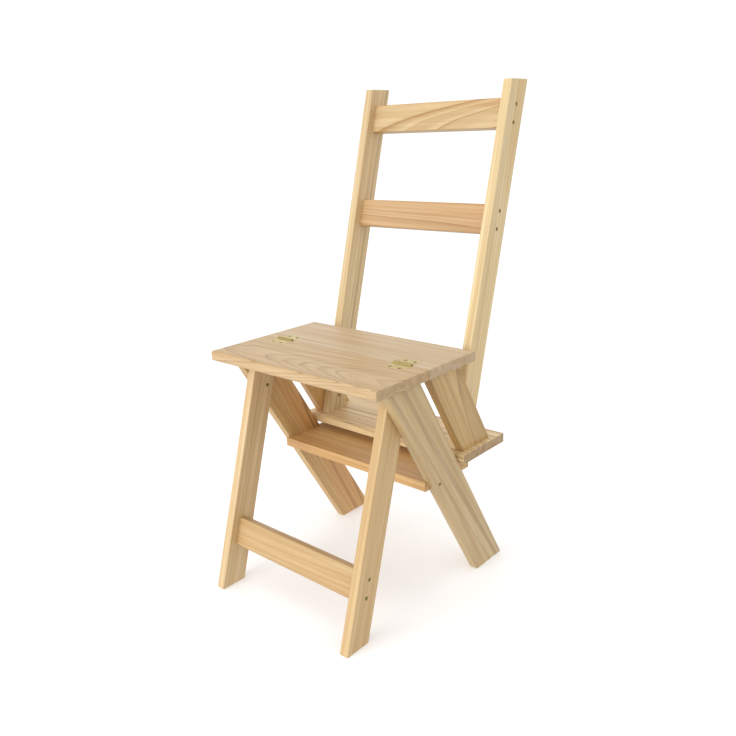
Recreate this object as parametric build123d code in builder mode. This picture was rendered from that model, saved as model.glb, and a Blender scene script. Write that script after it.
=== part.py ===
"""Folding ladder chair in pine: a chair whose rear half turns over its front half to make steps.

Frame: +X to the sitter's left, +Y to the back, +Z up, standing on z = 0 and centred in X and Y.
Every front-to-back place is first worked out from the seat's split line, then moved by split_y.
"""

from build123d import *

import os
from collections import namedtuple
from math import cos, radians, sin, tan

os.makedirs("parts", exist_ok=True)

# ---------------------------------------------------------------- driving dimensions (mm, degrees)
pin_height = 450.0  # hinge axis above the floor
hinge_lift = 0.4  # hinge axis above the seat's top face, so that the folded halves don't bind
frame_width = 337.0  # clear width between the stringers, and over the legs' outer faces
side_thick = 18.0  # legs, posts and stringers
seat_overhang = 11.5  # seat and top step beyond each stringer's outer face
board_depth = 133.0  # front to back, each half of the seat and each step
board_thick = 18.0
member_width = 51.0  # legs and posts, square to their length
stringer_width = 73.0  # square to its length
slat_width = 53.0
rail_width = 53.0
slat_thick = 18.0  # slats and front rail

leg_rake = 16.5  # all rakes are measured from upright
post_rake = 15.3
stringer_rake = 31.0

stringer_gap = 25.0  # between front and rear stringers, under the seat
split_gap = 0.4  # between the seat's halves
top_step_top = 264.5
step_gap = 9.5  # from the lower step's top up to the top step's underside
lower_step_nose = 5.5  # how far the lower step stands ahead of its stringers
stop_clearance = 0.3  # between the top step's front edge and the front stringers it stops on
housing_depth = 5.5  # lower step's ends, let into the stringers
rail_height = 102.0  # middle of the front rail
top_slat_drop = 58.0  # from the posts' tops down to the slat's middle
middle_slat_drop = 239.0

ease = 2.0  # rounding of free edges
seat_ease = 3.0

# Hinges
hinge_offset = 142.0  # each hinge's middle from the chair's middle
hinge_length = 38.0
leaf_reach = 28.0  # from the pin axis to the leaf's far edge
leaf_thick = 1.5
leaf_corner = 2.0
knuckle_radius = 3.0
knuckle_count = 5
knuckle_gap = 0.4  # between one leaf's knuckles and the other leaf
knuckle_relief = 0.6  # round the barrel, in the wood
pin_radius = 1.5
pin_fit = 0.05
pin_chamfer = 0.3
leaf_fit = 0.2  # round the leaf, in its recess
leaf_screw_reach = 21.0
leaf_screw_pitch = 20.0

# Screws and dowels
screw_fit = 0.1
head_sink = 0.3  # screw heads lie this far below the face
head_angle = 90.0  # of the countersink, side to side
recess_width = 1.0
recess_span = 1.2  # cross recess, end to end, over the head's radius
tip_length = 3.0
end_screw_pitch = 32.0  # the two screws in the end of a slat or rail
joint_screw_first = 30.0  # from a leg's or post's cut end to its first screw
joint_screw_pitch = 32.0
step_screw_inset = 16.0  # from the stringer's front edge
dowel_radius = 4.0
dowel_fit = 0.05
dowel_depth = 12.0  # in the board
dowel_hold = 18.0  # in the upright
dowel_pitch = 40.0
dowel_end_gap = 1.0
dowel_chamfer = 1.0
screw_margin = 4.0  # wood left beyond the tips of the hinge and joint screws

Screw = namedtuple("Screw", "head_radius shank_radius length")
hinge_screw = Screw(3.1, 1.5, board_thick - screw_margin)
end_screw = Screw(3.8, 2.0, 45.0)
joint_screw = Screw(3.8, 2.0, 2 * side_thick - screw_margin)


# ---------------------------------------------------------------- places worked out from them
def run(height, rake):
    """How far a raked line moves front to back over a height."""
    return height * tan(radians(rake))


def level_width(width, rake):
    """Front-to-back size of a raked member's level cut."""
    return width / cos(radians(rake))


seat_top = pin_height - hinge_lift
seat_under = seat_top - board_thick
post_top = 2 * pin_height  # the posts' tops reach the floor when the rear half is turned over
top_step_under = top_step_top - board_thick
lower_step_top = top_step_under - step_gap
top_slat_height = post_top - top_slat_drop
middle_slat_height = post_top - middle_slat_drop

inner_half = frame_width / 2 - side_thick  # legs' and posts' inner faces
frame_half = frame_width / 2
outer_half = frame_half + side_thick  # stringers' outer faces
seat_width = 2 * (outer_half + seat_overhang)

leg_level = level_width(member_width, leg_rake)
post_level = level_width(member_width, post_rake)
stringer_level = level_width(stringer_width, stringer_rake)


def front_stringer_rear(z):
    return -stringer_gap / 2 + run(seat_under - z, stringer_rake)


def front_stringer_front(z):
    return front_stringer_rear(z) - stringer_level


def rear_stringer_front(z):
    return stringer_gap / 2 + run(seat_under - z, stringer_rake)


def leg_front(z):
    """The leg's rear edge meets the stringer's rear edge under the seat."""
    return -stringer_gap / 2 - leg_level - run(seat_under - z, leg_rake)


def post_front(z):
    """The post's front edge meets the rear stringer's front edge on the top step."""
    return rear_stringer_front(top_step_top) + run(z - top_step_top, post_rake)


# The split's place when the whole chair is centred over the origin.
split_y = -(leg_front(0) + post_front(post_top) + post_level) / 2
hinge_plane = Plane(origin=(0, split_y, pin_height), z_dir=(1, 0, 0))

# The rounded lower edge of the top step meets the stringers' sloping rear edges.
corner_slack = ease * (sin(radians(stringer_rake)) + cos(radians(stringer_rake)) - 1)
top_step_front = front_stringer_rear(top_step_under) + level_width(
    stop_clearance - corner_slack, stringer_rake
)
lower_step_front = front_stringer_front(lower_step_top) - lower_step_nose


# ---------------------------------------------------------------- helpers
def finish_piece(builder, name):
    """Label a finished piece and write it."""
    builder.part.label = name
    export_step(builder.part, f"parts/{name}.step")


def side_name(side):
    return "left" if side > 0 else "right"


def facing_plane(x, y, z, direction):
    """A plane square to X at (x, y, z), facing +X or -X; y is measured from the split."""
    return Plane(origin=(x, y + split_y, z), x_dir=(0, 1, 0), z_dir=(direction, 0, 0))


def cut_screw_holes(screw, planes):
    """Countersunk holes for screws whose heads lie on these planes (inside a BuildPart)."""
    with Locations(*planes):
        CounterSinkHole(
            radius=screw.shank_radius + screw_fit,
            counter_sink_radius=screw.head_radius + screw_fit,
            depth=screw.length + screw_fit,
            counter_sink_angle=head_angle,
        )


def make_screws(name, screw, planes):
    """A group of identical cross-head wood screws, driven in along -Z of each plane."""
    neck = (screw.head_radius - screw.shank_radius) / tan(radians(head_angle / 2))
    recess_length = screw.head_radius * recess_span
    with BuildPart() as one_screw:
        with BuildSketch(Plane.XZ):
            with BuildLine():
                Polyline(
                    (0, 0),
                    (screw.head_radius, 0),
                    (screw.shank_radius, -neck),
                    (screw.shank_radius, tip_length - screw.length),
                    (0, -screw.length),
                    close=True,
                )
            make_face()
        revolve(axis=Axis.Z)
        with BuildSketch(Plane.XY):
            Rectangle(recess_length, recess_width)
            Rectangle(recess_width, recess_length)
        extrude(amount=-neck, mode=Mode.SUBTRACT)
    with BuildPart() as screws:
        with Locations(*planes):
            add(one_screw.part)
    finish_piece(screws, name)


def dowel_spots(x, middles, level):
    """Upward-facing planes where dowels cross the level face at z = level."""
    return [Plane(origin=(x, y + split_y, level), z_dir=(0, 0, 1)) for y in middles]


def cut_dowel_holes(spots, above, below):
    """Dowel holes reaching this far above and below each spot (inside a BuildPart)."""
    with Locations(*[spot.offset(above + dowel_end_gap) for spot in spots]):
        Cylinder(
            dowel_radius + dowel_fit,
            above + below + 2 * dowel_end_gap,
            align=(Align.CENTER, Align.CENTER, Align.MAX),
            mode=Mode.SUBTRACT,
        )


def make_dowels(name, spots, above, below):
    """A group of straight dowels with chamfered ends."""
    with BuildPart() as dowels:
        with Locations(*[spot.offset(above) for spot in spots]):
            Cylinder(
                dowel_radius, above + below, align=(Align.CENTER, Align.CENTER, Align.MAX)
            )
        chamfer(dowels.edges().filter_by(GeomType.CIRCLE), dowel_chamfer)
    finish_piece(dowels, name)


def raked_direction(rake):
    """Direction of a member that leans back by this rake (forwards if it is negative)."""
    return Axis((0, 0, 0), (0, sin(radians(rake)), cos(radians(rake))))


def raked_board(x_start, low, high, front_low, front_high, level):
    """A sloping board cut level at z = low and z = high, from x_start to x_start + side_thick."""
    with BuildSketch(Plane.YZ.offset(x_start)) as outline:
        with BuildLine():
            Polyline(
                (front_low + split_y, low),
                (front_low + level + split_y, low),
                (front_high + level + split_y, high),
                (front_high + split_y, high),
                close=True,
            )
        make_face()
    extrude(outline.sketch, amount=side_thick)


def ease_long_edges(builder, rake, free_end=None):
    """Round the edges along a sloping board, and those of its free end (0 lowest, -1 highest)."""
    edges = builder.edges().filter_by(raked_direction(rake))
    if free_end is not None:
        edges += builder.edges().group_by(Axis.Z)[free_end]
    fillet(edges, ease)


def level_board(width, front, top):
    """A step or seat board lying level, front and top being its front edge and its top face."""
    with BuildSketch(Plane.XY.offset(top - board_thick)) as outline:
        with Locations((0, front + board_depth / 2 + split_y)):
            Rectangle(width, board_depth)
    extrude(outline.sketch, amount=board_thick)


def cross_piece(middle_z, front_at, level, rake, width):
    """A slat or rail between the legs or posts, centred in their depth and raked with them."""
    middle_y = front_at(middle_z) + level / 2 + split_y
    with BuildSketch(Plane.YZ.offset(-inner_half)) as section:
        with Locations((middle_y, middle_z)):
            Rectangle(slat_thick, width, rotation=-rake)
    extrude(section.sketch, amount=2 * inner_half)


def end_screw_planes(side, middle_z, front_at, level, rake):
    """Two screws through a leg or post into the end of its cross piece."""
    planes = []
    for step in (-0.5, 0.5):
        z = middle_z + step * end_screw_pitch * cos(radians(rake))
        planes.append(facing_plane(side * (frame_half - head_sink), front_at(z) + level / 2, z, side))
    return planes


def leg_joint_planes(side):
    """Screws through the leg's inner face into the front stringer, where the two cross."""
    planes = []
    for step in (0, 1):
        z = seat_under - joint_screw_first - step * joint_screw_pitch
        middle = (front_stringer_front(z) + leg_front(z) + leg_level) / 2
        planes.append(facing_plane(side * (inner_half + head_sink), middle, z, -side))
    return planes


def post_joint_planes(side):
    """Screws through the post's inner face into the rear stringer, where the two cross."""
    planes = []
    for step in (0, 1):
        z = top_step_top + joint_screw_first + step * joint_screw_pitch
        back = min(post_front(z) + post_level, rear_stringer_front(z) + stringer_level)
        middle = (post_front(z) + back) / 2
        planes.append(facing_plane(side * (inner_half + head_sink), middle, z, -side))
    return planes


def step_screw_planes(side):
    """One screw through each front stringer into the end of the lower step."""
    z = lower_step_top - board_thick / 2
    y = front_stringer_front(z) + step_screw_inset
    return [facing_plane(side * (outer_half - head_sink), y, z, side)]


def leaf_screw_planes(side, half):
    """Two screws in one hinge leaf; half is -1 for the front leaf and +1 for the rear one."""
    planes = []
    for step in (-0.5, 0.5):
        x = side * hinge_offset + step * leaf_screw_pitch
        y = half * leaf_screw_reach + split_y
        planes.append(Plane(origin=(x, y, seat_top - head_sink), z_dir=(0, 0, 1)))
    return planes


sides = (1, -1)
leg_ends = {side: end_screw_planes(side, rail_height, leg_front, leg_level, leg_rake) for side in sides}
post_ends = {
    side: end_screw_planes(side, top_slat_height, post_front, post_level, post_rake)
    + end_screw_planes(side, middle_slat_height, post_front, post_level, post_rake)
    for side in sides
}
stringer_middle = frame_half + side_thick / 2
post_middle = frame_half - side_thick / 2


def paired(middle):
    return (middle - dowel_pitch / 2, middle + dowel_pitch / 2)


front_seat_spots = {}
rear_seat_spots = {}
top_step_spots = {}
post_foot_spots = {}
for side in sides:
    # The dowels stand upright, so they are centred in the raked members at half their hold.
    lean = run(dowel_hold, stringer_rake) / 2
    front_middle = -(stringer_gap + stringer_level) / 2 + lean
    rear_middle = (stringer_gap + stringer_level) / 2 + lean
    foot_middle = rear_stringer_front(top_step_top) + stringer_level / 2 - lean
    post_foot = post_front(top_step_top) + post_level / 2 + run(dowel_hold, post_rake) / 2
    x = side * stringer_middle
    front_seat_spots[side] = dowel_spots(x, paired(front_middle), seat_under)
    rear_seat_spots[side] = dowel_spots(x, paired(rear_middle), seat_under)
    top_step_spots[side] = dowel_spots(x, paired(foot_middle), top_step_top)
    post_foot_spots[side] = dowel_spots(side * post_middle, [post_foot], top_step_top)


def both(spots):
    return spots[1] + spots[-1]


# ---------------------------------------------------------------- seat boards and steps
def cut_hinge_recess(half):
    """Shallow recesses for the leaves and channels for the barrels (inside a BuildPart)."""
    leaf_middle = half * (leaf_reach + leaf_fit) / 2 + split_y
    with BuildSketch(Plane.XY.offset(seat_top)) as leaf_outlines:
        with Locations(*[(side * hinge_offset, leaf_middle) for side in sides]):
            Rectangle(hinge_length + 2 * leaf_fit, leaf_reach + leaf_fit)
    extrude(leaf_outlines.sketch, amount=-leaf_thick, mode=Mode.SUBTRACT)
    for side in sides:
        with BuildSketch(hinge_plane.offset(side * hinge_offset)) as channel:
            Circle(knuckle_radius + knuckle_relief)
        channel_half = hinge_length / 2 + knuckle_relief
        extrude(channel.sketch, amount=channel_half, both=True, mode=Mode.SUBTRACT)
        cut_screw_holes(hinge_screw, leaf_screw_planes(side, half))


def make_seat_half(name, half, spots):
    """Half of the seat: eased all round but at the split, with dowel holes and hinge recesses."""
    front = split_gap / 2 if half > 0 else -split_gap / 2 - board_depth
    with BuildPart() as board:
        level_board(seat_width, front, seat_top)
        split_face = board.faces().sort_by(Axis.Y)[0 if half > 0 else -1]
        split_edges = split_face.edges()
        fillet(board.edges() - split_edges, seat_ease)
        cut_dowel_holes(spots, dowel_depth, dowel_hold)
        cut_hinge_recess(half)
    finish_piece(board, name)


make_seat_half("seat_front_board", -1, both(front_seat_spots))
make_seat_half("seat_rear_board", 1, both(rear_seat_spots))

with BuildPart() as lower_step:
    level_board(2 * (frame_half + housing_depth), lower_step_front, lower_step_top)
    fillet(lower_step.edges().filter_by(Axis.X), ease)
    for side in sides:
        cut_screw_holes(end_screw, step_screw_planes(side))
finish_piece(lower_step, "lower_step")

with BuildPart() as top_step:
    level_board(seat_width, top_step_front, top_step_top)
    fillet(top_step.edges(), ease)
    cut_dowel_holes(both(top_step_spots) + both(post_foot_spots), dowel_hold, dowel_depth)
finish_piece(top_step, "top_step")

# ---------------------------------------------------------------- legs, posts and stringers
for side in sides:
    leg_start = min(side * inner_half, side * frame_half)
    with BuildPart() as front_leg:
        raked_board(leg_start, 0, seat_under, leg_front(0), leg_front(seat_under), leg_level)
        ease_long_edges(front_leg, leg_rake, free_end=0)
        cut_screw_holes(end_screw, leg_ends[side])
        cut_screw_holes(joint_screw, leg_joint_planes(side))
    finish_piece(front_leg, f"front_leg_{side_name(side)}")

    with BuildPart() as back_post:
        raked_board(
            leg_start,
            top_step_top,
            post_top,
            post_front(top_step_top),
            post_front(post_top),
            post_level,
        )
        ease_long_edges(back_post, post_rake, free_end=-1)
        cut_screw_holes(end_screw, post_ends[side])
        cut_screw_holes(joint_screw, post_joint_planes(side))
        cut_dowel_holes(post_foot_spots[side], dowel_hold, dowel_depth)
    finish_piece(back_post, f"back_post_{side_name(side)}")

    stringer_start = min(side * frame_half, side * outer_half)
    with BuildPart() as front_stringer:
        raked_board(
            stringer_start,
            0,
            seat_under,
            front_stringer_front(0),
            front_stringer_front(seat_under),
            stringer_level,
        )
        ease_long_edges(front_stringer, -stringer_rake, free_end=0)
        # Housing for the end of the lower step, across the whole inner face.
        with BuildSketch(Plane.YZ.offset(side * frame_half)):
            with Locations((lower_step_front + board_depth / 2 + split_y, lower_step_top)):
                Rectangle(board_depth, board_thick, align=(Align.CENTER, Align.MAX))
        extrude(amount=side * housing_depth, mode=Mode.SUBTRACT)
        cut_screw_holes(end_screw, step_screw_planes(side))
        cut_screw_holes(joint_screw, leg_joint_planes(side))
        cut_dowel_holes(front_seat_spots[side], dowel_depth, dowel_hold)
    finish_piece(front_stringer, f"front_stringer_{side_name(side)}")

    with BuildPart() as rear_stringer:
        raked_board(
            stringer_start,
            top_step_top,
            seat_under,
            rear_stringer_front(top_step_top),
            rear_stringer_front(seat_under),
            stringer_level,
        )
        ease_long_edges(rear_stringer, -stringer_rake)
        cut_screw_holes(joint_screw, post_joint_planes(side))
        cut_dowel_holes(rear_seat_spots[side], dowel_depth, dowel_hold)
        cut_dowel_holes(top_step_spots[side], dowel_hold, dowel_depth)
    finish_piece(rear_stringer, f"rear_stringer_{side_name(side)}")

# ---------------------------------------------------------------- rail and slats
with BuildPart() as front_rail:
    cross_piece(rail_height, leg_front, leg_level, leg_rake, rail_width)
    fillet(front_rail.edges().filter_by(Axis.X), ease)
    cut_screw_holes(end_screw, both(leg_ends))
finish_piece(front_rail, "front_rail")

for name, height in (("top_slat", top_slat_height), ("middle_slat", middle_slat_height)):
    with BuildPart() as slat:
        cross_piece(height, post_front, post_level, post_rake, slat_width)
        fillet(slat.edges().filter_by(Axis.X), ease)
        cut_screw_holes(end_screw, both(post_ends))
    finish_piece(slat, name)

# ---------------------------------------------------------------- hinges
knuckle_pitch = hinge_length / knuckle_count


def make_leaf(name, side, half):
    """One hinge leaf, flush with the seat; the front leaf has the odd knuckles, rear the even."""
    own = range(0 if half < 0 else 1, knuckle_count, 2)
    clear_reach = knuckle_radius + knuckle_gap
    start = side * hinge_offset - hinge_length / 2
    with BuildPart() as leaf:
        with BuildSketch(Plane.XY.offset(seat_top)):
            with Locations((side * hinge_offset, half * (leaf_reach + clear_reach) / 2 + split_y)):
                Rectangle(hinge_length, leaf_reach - clear_reach)
        extrude(amount=-leaf_thick)
        outer = leaf.edges().filter_by(Axis.Z).group_by(Axis.Y)[0 if half < 0 else -1]
        fillet(outer, leaf_corner)
        for index in own:
            low = start + index * knuckle_pitch + (knuckle_gap / 2 if index else 0)
            high = start + (index + 1) * knuckle_pitch
            high -= 0 if index == knuckle_count - 1 else knuckle_gap / 2
            with BuildSketch(Plane.XY.offset(seat_top)):
                with Locations(((low + high) / 2, half * clear_reach / 2 + split_y)):
                    Rectangle(high - low, clear_reach)
            extrude(amount=-leaf_thick)
            with BuildSketch(hinge_plane.offset(low)):
                Circle(knuckle_radius)
            extrude(amount=high - low)
        with BuildSketch(hinge_plane.offset(start)):
            Circle(pin_radius + pin_fit)
        extrude(amount=hinge_length, mode=Mode.SUBTRACT)
        cut_screw_holes(hinge_screw, leaf_screw_planes(side, half))
    finish_piece(leaf, name)


for side in sides:
    make_leaf(f"hinge_leaf_front_{side_name(side)}", side, -1)
    make_leaf(f"hinge_leaf_rear_{side_name(side)}", side, 1)
    with BuildPart() as hinge_pin:
        with BuildSketch(hinge_plane.offset(side * hinge_offset)):
            Circle(pin_radius)
        extrude(amount=hinge_length / 2, both=True)
        chamfer(hinge_pin.edges().filter_by(GeomType.CIRCLE), pin_chamfer)
    finish_piece(hinge_pin, f"hinge_pin_{side_name(side)}")

# ---------------------------------------------------------------- screws and dowels
for half, name in ((-1, "hinge_screws_front"), (1, "hinge_screws_rear")):
    make_screws(name, hinge_screw, leaf_screw_planes(1, half) + leaf_screw_planes(-1, half))
make_screws("front_rail_screws", end_screw, both(leg_ends))
make_screws("slat_screws", end_screw, both(post_ends))
make_screws("lower_step_screws", end_screw, step_screw_planes(1) + step_screw_planes(-1))
make_screws("leg_screws", joint_screw, leg_joint_planes(1) + leg_joint_planes(-1))
make_screws("post_screws", joint_screw, post_joint_planes(1) + post_joint_planes(-1))

make_dowels("seat_front_dowels", both(front_seat_spots), dowel_depth, dowel_hold)
make_dowels("seat_rear_dowels", both(rear_seat_spots), dowel_depth, dowel_hold)
make_dowels(
    "top_step_dowels", both(top_step_spots) + both(post_foot_spots), dowel_hold, dowel_depth
)
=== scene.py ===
# %% [markdown]
# # A pine ladder chair, dressed for its portrait
# The chair is a kit of planed boards, wood screws and two brass hinges. Its rear half turns over the
# front half and the chair becomes a set of three steps. The shapes come from a finished CAD model, so
# this lesson is about surfaces: what makes a plain board read as pine and not as yellow plastic.

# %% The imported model
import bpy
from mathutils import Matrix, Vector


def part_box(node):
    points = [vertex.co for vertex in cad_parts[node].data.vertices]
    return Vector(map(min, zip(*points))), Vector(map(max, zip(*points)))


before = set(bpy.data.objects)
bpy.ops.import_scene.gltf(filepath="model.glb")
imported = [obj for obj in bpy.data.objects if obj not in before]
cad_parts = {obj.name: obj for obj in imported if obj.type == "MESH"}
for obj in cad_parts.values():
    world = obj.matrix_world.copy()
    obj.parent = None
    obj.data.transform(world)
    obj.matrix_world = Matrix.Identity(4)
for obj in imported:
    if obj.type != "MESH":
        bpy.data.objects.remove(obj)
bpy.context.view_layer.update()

# %% [markdown]
# ## Working units and three helpers
# Blender counts in metres and a joiner in millimetres, so `mm` turns one into the other. Colours are
# picked as they look on a screen, as sRGB hex values, but a renderer adds up light, which needs
# linear values. `linear` does that. `add_node` puts one node in a tree: its settings are keyword
# arguments, whatever goes into its sockets, a number or another node's output, is in `into`, and
# `stops` are the places and colours of a colour ramp.

# %% Helpers
from collections import namedtuple
from math import cos, radians, sin

import bmesh
import bpy
from mathutils import Matrix, Vector

mm = 0.001


def linear(hex_colour):
    """An sRGB colour such as "#C8A060" as linear red, green, blue and alpha."""
    channels = [int(hex_colour[i:i + 2], 16) / 255 for i in (1, 3, 5)]
    curve = [c / 12.92 if c <= 0.04045 else ((c + 0.055) / 1.055) ** 2.4 for c in channels]
    return (*curve, 1.0)


def grey(level):
    """A grey with this level in all three channels."""
    return (level, level, level, 1.0)


def add_node(tree, kind, into=None, stops=(), **settings):
    """Add a node, set it up, and fill its sockets with values or with links from other nodes."""
    node = tree.nodes.new("ShaderNode" + kind)
    for name, value in settings.items():
        setattr(node, name, value)
    for socket_name, value in (into or {}).items():
        socket = node.inputs[socket_name]
        if isinstance(value, bpy.types.NodeSocket):
            tree.links.new(value, socket)
        else:
            socket.default_value = value
    for number, (place, colour) in enumerate(stops):
        elements = node.color_ramp.elements
        # A new ramp already has two stops.
        element = elements[number] if number < 2 else elements.new(place)
        element.position = place
        element.color = colour
    return node


print("half way to white on a screen is", round(linear("#808080")[0], 3), "of the light")

# %% [markdown]
# ## The camera
# A standing person looks down on a chair from its front corner. A fairly wide lens, close by, gives
# the uprights their strong lean. The camera is placed by three angles: which way it faces, how far
# it tips down, and a slight roll.

# %% Camera
camera_place = Vector((903.8, -1016.0, 818.5)) * mm
camera_turn = radians(41.67)
camera_tip = radians(-17.14)
camera_roll = radians(-2.09)
lens_mm = 37.32
film_width_mm = 36.0

ahead = cos(camera_tip)
forward = Vector((-sin(camera_turn) * ahead, cos(camera_turn) * ahead, sin(camera_tip)))
level_right = Vector((cos(camera_turn), sin(camera_turn), 0))
level_up = level_right.cross(forward)
right = level_right * cos(camera_roll) + level_up * sin(camera_roll)
up = level_up * cos(camera_roll) - level_right * sin(camera_roll)

camera_data = bpy.data.cameras.new("portrait_camera")
camera_data.lens = lens_mm
camera_data.sensor_width = film_width_mm
camera = bpy.data.objects.new("portrait_camera", camera_data)
camera_axes = Matrix((right, up, -forward)).transposed().to_4x4()
camera.matrix_world = Matrix.Translation(camera_place) @ camera_axes
bpy.context.scene.collection.objects.link(camera)
bpy.context.scene.camera = camera
bpy.context.scene.view_settings.view_transform = "Standard"
print("camera looks along", [round(c, 3) for c in forward])

# %% [markdown]
# ## The floor
# The floor is a translucent white sheet with some light behind it, so it stays nearly white and
# holds only a faint shadow where the feet touch. A plane or a curved backdrop would do, but a wide
# round disc has no corner to hide. A floor as white as this would throw so much light back up that
# the sides looked flat, so it is left out of the bounced light.

# %% Floor
floor_radius = 30.0  # metres, so that its edge is lost in the white
shadow_lift = 0.22  # light from behind the sheet, which thins the shadows

floor_mesh = bpy.data.meshes.new("floor")
disc = bmesh.new()
bmesh.ops.create_circle(disc, cap_ends=True, segments=96, radius=floor_radius)
disc.to_mesh(floor_mesh)
disc.free()
floor = bpy.data.objects.new("floor", floor_mesh)
bpy.context.scene.collection.objects.link(floor)

floor_finish = bpy.data.materials.new("backlit white acrylic")
floor_finish.use_nodes = True
floor_shader = floor_finish.node_tree.nodes["Principled BSDF"]
floor_shader.inputs["Base Color"].default_value = linear("#E9E9E9")
floor_shader.inputs["Roughness"].default_value = 0.9
floor_shader.inputs["Specular IOR Level"].default_value = 0.1
floor_shader.inputs["Emission Color"].default_value = linear("#FFFFFF")
floor_shader.inputs["Emission Strength"].default_value = shadow_lift
floor_mesh.materials.append(floor_finish)
floor.visible_diffuse = False
print("floor disc", floor_radius, "m in radius")

# %% [markdown]
# ## The light
# A catalogue portrait is lit in a white tent: soft light from all round, and one large soft box in
# front to make the front edges bright. A plain world stands for the tent. Its lower half is dimmer
# and lights the undersides, as a real tent's floor would.

# %% Tent and soft box
world = bpy.data.worlds.new("white tent")
world.use_nodes = True
tent = world.node_tree
sky_direction = add_node(tent, "TexCoord").outputs["Generated"]
sky_height = add_node(tent, "SeparateXYZ", {"Vector": sky_direction}).outputs["Z"]
tent_light = add_node(
    tent,
    "MapRange",
    {"Value": sky_height, "From Min": -0.40, "From Max": -0.08, "To Min": 0.86, "To Max": 1.06},
)
tent.nodes["Background"].inputs["Color"].default_value = linear("#FFFFFF")
tent.links.new(tent_light.outputs["Result"], tent.nodes["Background"].inputs["Strength"])
bpy.context.scene.world = world

seat_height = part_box("seat_front_board")[1][2]
soft_box_place = Vector((-0.4, -2.9, 1.2))
soft_box_aim = Vector((0, 0, seat_height))
soft_box = bpy.data.lights.new("front soft box", "AREA")
soft_box.size = 1.8
soft_box.energy = 46.0
lamp = bpy.data.objects.new("front soft box", soft_box)
lamp.location = soft_box_place
lamp.rotation_euler = (soft_box_aim - soft_box_place).to_track_quat("-Z", "Y").to_euler()
bpy.context.scene.collection.objects.link(lamp)
print("lit, seat at", round(seat_height, 4))

# %% [markdown]
# ## How a pine board gets its figure
# A trunk grows one ring a year: soft pale earlywood in spring, then hard amber latewood that stops
# short at the winter. A sawn board is only a flat cut through that stack of tubes. So the pattern is
# made as a solid, once, and each board cuts its own slice: stripes where the saw ran through the
# tree's heart, flames where the board lay off to one side, arcs on the sawn ends. All faces of a
# board then agree at its edges, which a flat grain picture wrapped round a box never does.
#
# The group below takes a place in millimetres, measured from the tree's heart with Z along the
# grain. It hands back a colour, a roughness and a height for bump.

# %% The group and its sockets
grain = bpy.data.node_groups.new("pine growth rings", "ShaderNodeTree")
for name, kind in (
    ("Place", "Vector"),
    ("End Grain", "Float"),
    ("Ring Width", "Float"),
    ("Taper", "Float"),
    ("Wander", "Float"),
    ("Tree", "Float"),
    ("Earlywood", "Color"),
    ("Latewood", "Color"),
    ("Warmth", "Float"),
):
    grain.interface.new_socket(name, in_out="INPUT", socket_type="NodeSocket" + kind)
for name, kind in (("Color", "Color"), ("Roughness", "Float"), ("Height", "Float")):
    grain.interface.new_socket(name, in_out="OUTPUT", socket_type="NodeSocket" + kind)
grain_in = grain.nodes.new("NodeGroupInput").outputs
print(len(grain.interface.items_tree), "sockets on the pine group")

# %% [markdown]
# A tree isn't turned on a lathe. Two noises push the place about before the rings are measured: a
# slow one for the bend of the trunk and a quicker one for the ripple in a ring. Both are stretched
# along the grain, because a trunk changes slowly along its length.

# %% Bend and ripple
bend_size = 110.0  # mm across the grain, from one bend to the next
ripple_size = 16.0
ripple_share = 0.14  # of the bend's push
along_share = 0.10  # changes along the grain, as a share of those across it
noise_middle = (0.5, 0.5, 0.5)

stretched = add_node(
    grain, "VectorMath", {0: grain_in["Place"], 1: (1.0, 1.0, along_share)}, operation="MULTIPLY"
).outputs["Vector"]


def push(size, share):
    """A sideways shift in mm, from a noise with features of this size."""
    noise = add_node(
        grain,
        "TexNoise",
        {
            "Vector": stretched,
            "W": grain_in["Tree"],
            "Scale": 1 / size,
            "Detail": 2.0,
            "Roughness": 0.45,
        },
        noise_dimensions="4D",
    )
    centred = add_node(
        grain, "VectorMath", {0: noise.outputs["Color"], 1: noise_middle}, operation="SUBTRACT"
    )
    amount = add_node(grain, "Math", {0: grain_in["Wander"], 1: share}, operation="MULTIPLY")
    return add_node(
        grain,
        "VectorMath",
        {0: centred.outputs["Vector"], "Scale": amount.outputs["Value"]},
        operation="SCALE",
    ).outputs["Vector"]


both_pushes = add_node(
    grain,
    "VectorMath",
    {0: push(bend_size, 1.0), 1: push(ripple_size, ripple_share)},
    operation="ADD",
)
bent = add_node(
    grain, "VectorMath", {0: grain_in["Place"], 1: both_pushes.outputs["Vector"]}, operation="ADD"
).outputs["Vector"]
print("a bend is", round(bend_size / along_share), "mm long and", round(bend_size), "mm across")

# %% [markdown]
# Distance from the heart, divided by a ring's width, is the tree's age at that place. A trunk is
# also a long cone, so the distance grows a little along the grain: that taper is what turns
# parallel stripes into pointed flames. Good and bad summers make rings wide or narrow.

# %% Age in years
summer_pace = 0.07  # how quickly good and bad summers follow each other, per mm from the heart
summer_swing = 3.0  # years that they can put a ring early or late

sideways = add_node(grain, "VectorMath", {0: bent, 1: (1.0, 1.0, 0.0)}, operation="MULTIPLY")
from_heart = add_node(grain, "VectorMath", {0: sideways.outputs["Vector"]}, operation="LENGTH")
bent_parts = add_node(grain, "SeparateXYZ", {"Vector": bent})
coned = add_node(
    grain,
    "Math",
    {0: bent_parts.outputs["Z"], 1: grain_in["Taper"], 2: from_heart.outputs["Value"]},
    operation="MULTIPLY_ADD",
).outputs["Value"]
summers = add_node(
    grain, "TexNoise", {"W": coned, "Scale": summer_pace, "Detail": 2.0}, noise_dimensions="1D"
)
age_even = add_node(grain, "Math", {0: coned, 1: grain_in["Ring Width"]}, operation="DIVIDE")
age = add_node(
    grain,
    "Math",
    {0: summers.outputs["Fac"], 1: summer_swing, 2: age_even.outputs["Value"]},
    operation="MULTIPLY_ADD",
).outputs["Value"]
print("good and bad summers change over", round(1 / summer_pace), "mm of trunk")

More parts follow.
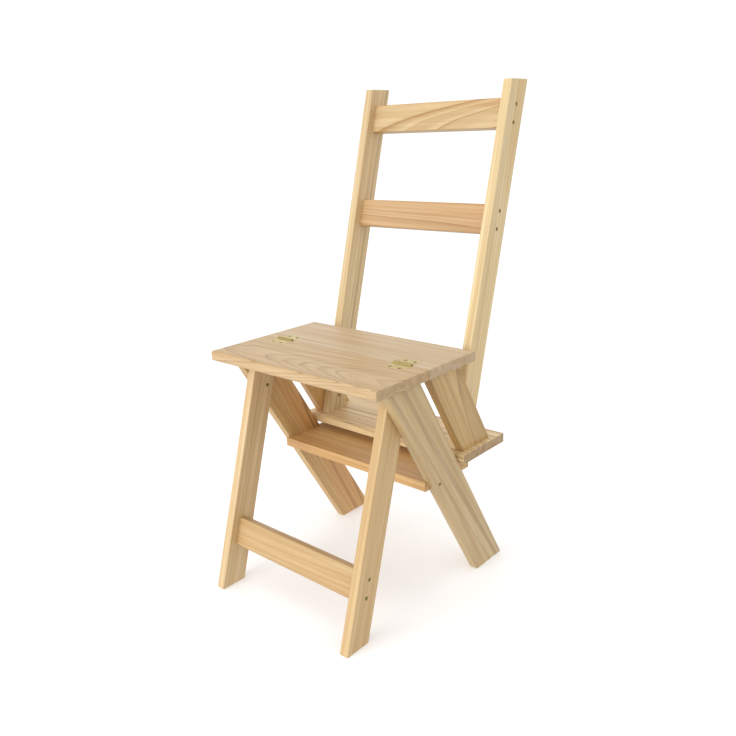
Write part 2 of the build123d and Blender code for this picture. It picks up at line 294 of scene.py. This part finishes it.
# %% [markdown]
# The age's fraction is the time of year. Earlywood darkens slowly into latewood and then stops at
# once, so each line is soft on one side and sharp on the other. The whole number is the year
# itself, and gives each ring its own depth of colour.

# %% Early and late in the year
faintest_year = 0.10  # depth of the palest ring, where the darkest has 1

season = add_node(grain, "Math", {0: age}, operation="FRACT").outputs["Value"]
year = add_node(grain, "Math", {0: age}, operation="FLOOR").outputs["Value"]
late = add_node(
    grain,
    "ValToRGB",
    {"Fac": season},
    stops=[
        (0.0, grey(0.55)),
        (0.12, grey(0.0)),
        (0.40, grey(0.08)),
        (0.74, grey(0.50)),
        (0.90, grey(1.0)),
    ],
).outputs["Color"]
year_and_tree = add_node(grain, "Math", {0: year, 1: grain_in["Tree"]}, operation="ADD")
chance = add_node(
    grain, "TexWhiteNoise", {"W": year_and_tree.outputs["Value"]}, noise_dimensions="1D"
)
year_depth = add_node(
    grain, "MapRange", {"Value": chance.outputs["Value"], "To Min": faintest_year, "To Max": 1.0}
)
late_depth = add_node(
    grain, "Math", {0: late, 1: year_depth.outputs["Result"]}, operation="MULTIPLY"
).outputs["Value"]
print("the palest ring has", faintest_year, "of the darkest one's depth")

# %% [markdown]
# Between the rings a planed face still isn't even. Wood is a bundle of fibres, which show as fine
# streaks along the grain, and here and there a resin duct leaves a short dark dash. Real fibres are
# 0.03 mm wide, far too fine to see here, so the streaks are drawn 0.8 mm wide to show at all.

# %% Fibres and resin ducts
fibre_width = 0.8
fibre_along = 0.025  # a fibre streak is 40 times as long as wide
duct_pitch = 5.0
duct_along = 0.09

fibre_place = add_node(
    grain, "VectorMath", {0: bent, 1: (1.0, 1.0, fibre_along)}, operation="MULTIPLY"
).outputs["Vector"]
fibre = add_node(
    grain,
    "TexNoise",
    {"Vector": fibre_place, "W": grain_in["Tree"], "Scale": 1 / fibre_width, "Detail": 3.0},
    noise_dimensions="4D",
).outputs["Fac"]
duct_place = add_node(
    grain, "VectorMath", {0: bent, 1: (1.0, 1.0, duct_along)}, operation="MULTIPLY"
).outputs["Vector"]
duct_cells = add_node(grain, "TexVoronoi", {"Vector": duct_place, "Scale": 1 / duct_pitch})
duct = add_node(
    grain,
    "ValToRGB",
    {"Fac": duct_cells.outputs["Distance"]},
    stops=[(0.0, grey(1.0)), (0.05, grey(0.8)), (0.10, grey(0.0))],
).outputs["Color"]
print("fibre streaks", round(fibre_width / fibre_along), "mm long, one duct per", duct_pitch, "mm")

# %% [markdown]
# Over a whole board the colour drifts too. Some years grew denser wood than others, which leaves
# soft streaks, nearly as long as the board. They could be painted by hand, but a noise stretched
# along the grain, with a wide ramp, follows every face at once.

# %% Soft streaks
streak_width = 9.0
streak_along = 0.03
streak_shade = linear("#EFE4D2")

streak_place = add_node(
    grain, "VectorMath", {0: bent, 1: (1.0, 1.0, streak_along)}, operation="MULTIPLY"
).outputs["Vector"]
streaks = add_node(
    grain,
    "TexNoise",
    {"Vector": streak_place, "W": grain_in["Tree"], "Scale": 1 / streak_width, "Detail": 2.0},
    noise_dimensions="4D",
)
streak = add_node(
    grain,
    "ValToRGB",
    {"Fac": streaks.outputs["Fac"]},
    stops=[(0.34, streak_shade), (0.66, grey(1.0))],
).outputs["Color"]
print("soft streaks", round(streak_width / streak_along), "mm long")

# %% [markdown]
# Resin gathers in some places and turns them a warmer orange. That is another noise, broad this
# time, and the group's `Warmth` says how strong it is on each board.

# %% Warm patches
patch_size = 70.0
patches = add_node(
    grain,
    "TexNoise",
    {"Vector": stretched, "W": grain_in["Tree"], "Scale": 1 / patch_size, "Detail": 2.0},
    noise_dimensions="4D",
)
patch = add_node(
    grain, "ValToRGB", {"Fac": patches.outputs["Fac"]}, stops=[(0.40, grey(0.0)), (0.66, grey(1.0))]
).outputs["Color"]
patch_depth = add_node(
    grain, "Math", {0: patch, 1: grain_in["Warmth"]}, operation="MULTIPLY"
).outputs["Value"]
print("warm patches", patch_size, "mm across")

# %% [markdown]
# Now the colours are laid on, palest first: earlywood, the warm patches, latewood, then the ducts.
# The fibres and the soft streaks darken all of it a little. A sawn end soaks up more lacquer and
# shows the fibres' open tubes, so it is duller and greyer.

# %% Colour, layer by layer
patch_colour = linear("#D69A5C")
duct_colour = linear("#8A5A32")
duct_strength = 0.35
end_colour = linear("#B8B1B6")

# A Mix node has sockets for each kind of data. For colour these are 6 and 7 in, and 2 out.
coloured = add_node(
    grain, "Mix", {0: patch_depth, 6: grain_in["Earlywood"], 7: patch_colour}, data_type="RGBA"
).outputs[2]
coloured = add_node(
    grain, "Mix", {0: late_depth, 6: coloured, 7: grain_in["Latewood"]}, data_type="RGBA"
).outputs[2]
duct_depth = add_node(grain, "Math", {0: duct, 1: duct_strength}, operation="MULTIPLY")
coloured = add_node(
    grain, "Mix", {0: duct_depth.outputs["Value"], 6: coloured, 7: duct_colour}, data_type="RGBA"
).outputs[2]
fibre_tone = add_node(
    grain, "ValToRGB", {"Fac": fibre}, stops=[(0.25, grey(0.88)), (0.75, grey(1.0))]
).outputs["Color"]
for tone in (fibre_tone, streak):
    coloured = add_node(
        grain, "Mix", {0: 1.0, 6: coloured, 7: tone}, data_type="RGBA", blend_type="MULTIPLY"
    ).outputs[2]
coloured = add_node(
    grain,
    "Mix",
    {0: grain_in["End Grain"], 6: coloured, 7: end_colour},
    data_type="RGBA",
    blend_type="MULTIPLY",
).outputs[2]
print("colour laid on in", sum(node.type == "MIX" for node in grain.nodes), "layers")

# %% [markdown]
# Latewood is hard and takes a better polish than earlywood, so it is a little smoother. It also
# stands a few hundredths of a millimetre proud after sanding, and the fibres leave a fine ribbing.

# %% Roughness, height and the group's end
earlywood_rough = 0.50
latewood_rough = 0.40
end_rough = 0.60  # added on a fully dull sawn end
ring_rise = 0.5  # shares of the bump's height
fibre_rise = 0.8

rough_rings = add_node(
    grain,
    "MapRange",
    {"Value": late_depth, "To Min": earlywood_rough, "To Max": latewood_rough},
)
rough = add_node(
    grain,
    "Math",
    {0: grain_in["End Grain"], 1: end_rough, 2: rough_rings.outputs["Result"]},
    operation="MULTIPLY_ADD",
)
rib = add_node(grain, "Math", {0: fibre, 1: fibre_rise}, operation="MULTIPLY").outputs["Value"]
height = add_node(grain, "Math", {0: late_depth, 1: ring_rise, 2: rib}, operation="MULTIPLY_ADD")
grain_out = grain.nodes.new("NodeGroupOutput")
grain.links.new(coloured, grain_out.inputs["Color"])
grain.links.new(rough.outputs["Value"], grain_out.inputs["Roughness"])
grain.links.new(height.outputs["Value"], grain_out.inputs["Height"])
print("pine group has", len(grain.nodes), "nodes")

# %% [markdown]
# ## One board, one cut
# What differs from board to board is how it was cut: how far the tree's heart lies through the
# thickness and across the width, in mm from the board's middle, how wide the rings are, and its
# colours. Each board's own Mapping node moves the heart there and turns Z along its grain. A
# Mapping node of type TEXTURE moves first and turns after, so both values read as a place and a turn
# on the chair. The turns are the chair's own slopes: how far the legs, posts and stringers lean.

# %% A board's cut and its turn
usual_end_tone = 0.28  # how far a sawn end darkens towards the end colour, 0 to 1
Cut = namedtuple(
    "Cut", "through across rings taper wander warmth early late ends", defaults=[usual_end_tone]
)
leg_rake, post_rake, stringer_rake = (radians(angle) for angle in (16.5, 15.3, 31.0))
lying = Matrix.Rotation(radians(90), 3, "Y")  # thickness down, width to the back
on_edge = lying @ Matrix.Rotation(radians(90), 3, "Z")  # thickness to the back, width up
rake_turn = {
    "level": lying,
    "leg": Matrix.Rotation(-leg_rake, 3, "X"),
    "post": Matrix.Rotation(-post_rake, 3, "X"),
    "stringer": Matrix.Rotation(stringer_rake, 3, "X"),
    "rail": Matrix.Rotation(-leg_rake, 3, "X") @ on_edge,
    "slat": Matrix.Rotation(-post_rake, 3, "X") @ on_edge,
}
print("turns for", ", ".join(rake_turn))

# %% [markdown]
# The finish itself is planed and sanded pine under one thin coat of matt lacquer. To the eye that is
# wood with a soft, broad sheen and no mirror, so the wood keeps most of its own roughness and the
# coat on top is weak and dull. The sawn ends are found by their direction: a face whose normal
# points along the grain is an end.

# %% The material of one board
end_starts = 0.45  # cosine of the angle between a face's normal and the grain
end_complete = 0.85
relief = 0.15 * mm  # of the sanded surface


def dress(node_name, finish):
    """Put one material on a node of the model."""
    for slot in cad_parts[node_name].material_slots:
        slot.link = "OBJECT"
        slot.material = finish


def pine_board(node_name, turn_name, tree, cut):
    """Give a board a material of its own: lacquered pine, cut from one place in one tree."""
    low, high = (Vector(corner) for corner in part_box(node_name))
    turn = rake_turn[turn_name]
    heart = (low + high) / 2 + turn @ Vector((cut.through, cut.across, 0)) * mm
    finish = bpy.data.materials.new("lacquered pine " + node_name.replace("_", " "))
    finish.use_nodes = True
    tree_nodes = finish.node_tree
    coordinates = add_node(tree_nodes, "TexCoord")
    cut_place = add_node(
        tree_nodes,
        "Mapping",
        {
            "Vector": coordinates.outputs["Object"],
            "Location": heart,
            "Rotation": turn.to_euler("XYZ"),
            "Scale": (mm, mm, mm),
        },
        vector_type="TEXTURE",
    )
    along = turn @ Vector((0, 0, 1))
    facing = add_node(
        tree_nodes,
        "VectorMath",
        {0: coordinates.outputs["Normal"], 1: along},
        operation="DOT_PRODUCT",
    )
    squareness = add_node(tree_nodes, "Math", {0: facing.outputs["Value"]}, operation="ABSOLUTE")
    end_grain = add_node(
        tree_nodes,
        "MapRange",
        {
            "Value": squareness.outputs["Value"],
            "From Min": end_starts,
            "From Max": end_complete,
            "To Max": cut.ends,
        },
        interpolation_type="SMOOTHSTEP",
    )
    rings = add_node(
        tree_nodes,
        "Group",
        {
            "Place": cut_place.outputs["Vector"],
            "End Grain": end_grain.outputs["Result"],
            "Ring Width": cut.rings,
            "Taper": cut.taper,
            "Wander": cut.wander,
            "Warmth": cut.warmth,
            "Tree": tree,
            "Earlywood": linear(cut.early),
            "Latewood": linear(cut.late),
        },
        node_tree=grain,
    )
    bump = add_node(
        tree_nodes,
        "Bump",
        {"Height": rings.outputs["Height"], "Strength": 0.35, "Distance": relief},
    )
    shader = tree_nodes.nodes["Principled BSDF"]
    tree_nodes.links.new(rings.outputs["Color"], shader.inputs["Base Color"])
    tree_nodes.links.new(rings.outputs["Roughness"], shader.inputs["Roughness"])
    tree_nodes.links.new(bump.outputs["Normal"], shader.inputs["Normal"])
    shader.inputs["IOR"].default_value = 1.5
    shader.inputs["Coat Weight"].default_value = 0.12
    shader.inputs["Coat Roughness"].default_value = 0.35
    dress(node_name, finish)
    print(node_name, "cut", round((heart - (low + high) / 2).length / mm), "mm from the heart")


# %% [markdown]
# The boards themselves. A heart far below a board gives broad flames, as on the seat, and a heart
# beside it gives straight stripes, as on the legs. Colours stay within a family but no two boards
# match, because a real chair is made from whatever came off the saw. The left front leg and both
# left stringers are also given darker colours as painted shade, because the lower left side of the
# chair gets less light.

# %% The boards
cuts = {
    "seat_front_board": ("level", Cut(48, -22, 4.2, -0.10, 24, 0.10, "#CDB38A", "#A98861")),
    "seat_rear_board": ("level", Cut(95, 60, 8.0, -0.010, 16, 0.10, "#CFB896", "#C2AA89")),
    "lower_step": ("level", Cut(60, 80, 6.0, 0.010, 12, 0.45, "#E0BC84", "#B6834A")),
    # The top step's sawn ends darken 0.80 of the way to the end colour, not the usual 0.28: darker
    # end grain, with painted shade on top of it.
    "top_step": ("level", Cut(27, 32, 3.6, 0.012, 8, 0.12, "#F0D8AA", "#855B34", 0.80)),
    "front_rail": ("rail", Cut(60, 45, 6.5, 0.020, 14, 0.30, "#C9AC7C", "#B58C58")),
    "top_slat": ("slat", Cut(42, -28, 9.0, -0.090, 12, 0.50, "#D5BC90", "#A57B3E")),
    "middle_slat": ("slat", Cut(60, -48, 5.0, 0.020, 14, 0.40, "#CBAB80", "#AC8352")),
    # Painted shade: this leg's colours are set darker than its twin's, for the lower left side, which
    # gets less light.
    "front_leg_left": ("leg", Cut(60, 30, 7.0, 0.010, 12, 0.12, "#D3B685", "#BD9C70")),
    "front_leg_right": ("leg", Cut(-55, 50, 8.5, 0.010, 14, 0.15, "#DEC59A", "#BC9C70")),
    "back_post_left": ("post", Cut(80, -40, 8.0, 0.010, 10, 0.12, "#E6D1A2", "#D1B88A")),
    "back_post_right": ("post", Cut(-65, 60, 8.5, 0.010, 14, 0.15, "#DCC79C", "#BCA076")),
    # Painted shade: this stringer's colours are set darker than its twin's, for the lower left side,
    # which gets less light.
    "front_stringer_left": ("stringer", Cut(-90, -50, 12.0, 0.020, 18, 0.12, "#CAB58A", "#AC9066")),
    "front_stringer_right": ("stringer", Cut(60, 50, 6.0, 0.060, 22, 0.60, "#DABC84", "#A67A48")),
    # Painted shade: this stringer's colours are set darker than its twin's, for the lower left side,
    # which gets less light.
    "rear_stringer_left": ("stringer", Cut(-70, 30, 9.0, 0.030, 16, 0.20, "#C8AB74", "#A5834C")),
    "rear_stringer_right": ("stringer", Cut(60, -40, 7.0, 0.012, 12, 0.40, "#D8B67A", "#A87840")),
}
next_tree = 7.3  # steps through the noises, so that no two boards share a tree
for number, (board, (turn_name, cut)) in enumerate(cuts.items()):
    pine_board(board, turn_name, number * next_tree, cut)
print(len(cuts), "boards, each from its own tree")

# %% [markdown]
# ## The dowels
# The seat and the top step are pinned to the uprights by beech dowels. They are hidden in the
# finished chair. Beech has no strong rings: it is pinkish and even, with short flecks.

# %% Beech
fleck_stretch = 8  # times as long as wide
fleck_scale = 0.9  # per mm

beech = bpy.data.materials.new("turned beech")
beech.use_nodes = True
beech_nodes = beech.node_tree
beech_coordinates = add_node(beech_nodes, "TexCoord").outputs["Object"]
beech_place = add_node(
    beech_nodes,
    "Mapping",
    {"Vector": beech_coordinates, "Scale": (mm, mm, fleck_stretch * mm)},
    vector_type="TEXTURE",
)
beech_fleck = add_node(
    beech_nodes,
    "TexNoise",
    {"Vector": beech_place.outputs["Vector"], "Scale": fleck_scale, "Detail": 3.0},
)
beech_ramp = add_node(
    beech_nodes,
    "ValToRGB",
    {"Fac": beech_fleck.outputs["Fac"]},
    stops=[(0.35, linear("#B4835C")), (0.62, linear("#D2AA82"))],
)
beech_shader = beech_nodes.nodes["Principled BSDF"]
beech_nodes.links.new(beech_ramp.outputs["Color"], beech_shader.inputs["Base Color"])
beech_shader.inputs["Roughness"].default_value = 0.6
for node_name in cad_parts:
    if node_name.endswith("dowels"):
        dress(node_name, beech)
print("beech on the dowels")

# %% [markdown]
# ## Metal
# The hinges are rolled brass, their screws are older, tarnished brass, and the wood screws are steel
# with a dull yellow zinc plating. All three are metals, so their colour is in the reflection. What
# makes them look handled instead of chromed is uneven roughness: fine drawing lines along the sheet
# and a cloudy tarnish over them. Round a hinge's pin the brass is made darker. That darker band is
# drawn by distance from the pin's axis, which a Gradient node of the spherical kind measures once
# the place is squashed flat along X.

# %% A metal with a history
# How far from the pin's axis the brass turns darker.
pin_darkening_reach = 4.6  # mm from the pin's axis
squash_flat = 1000.0  # metres, so that the distance along X counts for nothing
line_length = 30.0  # mm
line_relief = 0.02 * mm

pin_place = sum((Vector(corner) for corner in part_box("hinge_pin_left")), Vector()) / 2
pin_place.x = 0.0
print("hinge axis at", [round(c, 4) for c in pin_place])


def metal(name, colour, tarnish, near_pin_colour, smooth, dull, line_width, cloud_size):
    """Metal with lines along X, cloudy tarnish and a darker colour at the hinge axis; widths in mm.
    """
    finish = bpy.data.materials.new(name)
    finish.use_nodes = True
    nodes = finish.node_tree
    coordinates = add_node(nodes, "TexCoord").outputs["Object"]
    lines_place = add_node(
        nodes,
        "Mapping",
        {"Vector": coordinates, "Scale": (line_length * mm, mm, mm)},
        vector_type="TEXTURE",
    )
    lines = add_node(
        nodes,
        "TexNoise",
        {"Vector": lines_place.outputs["Vector"], "Scale": 1 / line_width, "Detail": 2.0},
    ).outputs["Fac"]
    cloud = add_node(
        nodes, "TexNoise", {"Vector": coordinates, "Scale": 1 / (cloud_size * mm), "Detail": 4.0}
    ).outputs["Fac"]
    tarnished = add_node(
        nodes, "ValToRGB", {"Fac": cloud}, stops=[(0.38, linear(colour)), (0.68, linear(tarnish))]
    ).outputs["Color"]
    from_pin = add_node(
        nodes,
        "Mapping",
        {
            "Vector": coordinates,
            "Location": pin_place,
            "Scale": (squash_flat, pin_darkening_reach * mm, pin_darkening_reach * mm),
        },
        vector_type="TEXTURE",
    )
    nearness = add_node(
        nodes, "TexGradient", {"Vector": from_pin.outputs["Vector"]}, gradient_type="SPHERICAL"
    ).outputs["Fac"]
    # The colour turns darker towards the hinge pin's axis.
    near_pin_darkening = add_node(
        nodes, "ValToRGB", {"Fac": nearness}, stops=[(0.05, grey(0.0)), (0.35, grey(1.0))]
    ).outputs["Color"]
    coloured_metal = add_node(
        nodes, "Mix", {0: near_pin_darkening, 6: tarnished, 7: linear(near_pin_colour)}, data_type="RGBA"
    ).outputs[2]
    both_textures = add_node(nodes, "Math", {0: lines, 1: cloud}, operation="ADD").outputs["Value"]
    rough = add_node(
        nodes,
        "MapRange",
        {
            "Value": both_textures,
            "From Min": 0.7,
            "From Max": 1.3,
            "To Min": smooth,
            "To Max": dull,
        },
    )
    bump = add_node(nodes, "Bump", {"Height": lines, "Strength": 0.1, "Distance": line_relief})
    shader = nodes.nodes["Principled BSDF"]
    nodes.links.new(coloured_metal, shader.inputs["Base Color"])
    nodes.links.new(rough.outputs["Result"], shader.inputs["Roughness"])
    nodes.links.new(bump.outputs["Normal"], shader.inputs["Normal"])
    shader.inputs["Metallic"].default_value = 1.0
    return finish


# %% [markdown]
# Rolled brass is a pale greenish gold. The hinges were never polished, so it looks soft, and the
# screws in it have gone dark. Zinc plating with a yellow chromate dip is duller and greyer still.

# %% Brass and plated steel
brass = metal(
    "rolled brass",
    colour="#DACB9A",
    tarnish="#CABA88",
    near_pin_colour="#AE9C68",
    smooth=0.48,
    dull=0.62,
    line_width=0.5,
    cloud_size=9.0,
)
old_brass = metal(
    "tarnished brass",
    colour="#94834F",
    tarnish="#75643C",
    near_pin_colour="#75643C",
    smooth=0.44,
    dull=0.62,
    line_width=0.4,
    cloud_size=3.0,
)
yellow_zinc = metal(
    "yellow zinc plated steel",
    colour="#A39468",
    tarnish="#82734A",
    near_pin_colour="#82734A",
    smooth=0.44,
    dull=0.62,
    line_width=0.4,
    cloud_size=3.0,
)
for node_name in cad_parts:
    if node_name.startswith("hinge_screws"):
        dress(node_name, old_brass)
    elif node_name.startswith("hinge"):
        dress(node_name, brass)
    elif node_name.endswith("_screws"):
        dress(node_name, yellow_zinc)
print("brass on the hinges, zinc on the wood screws")
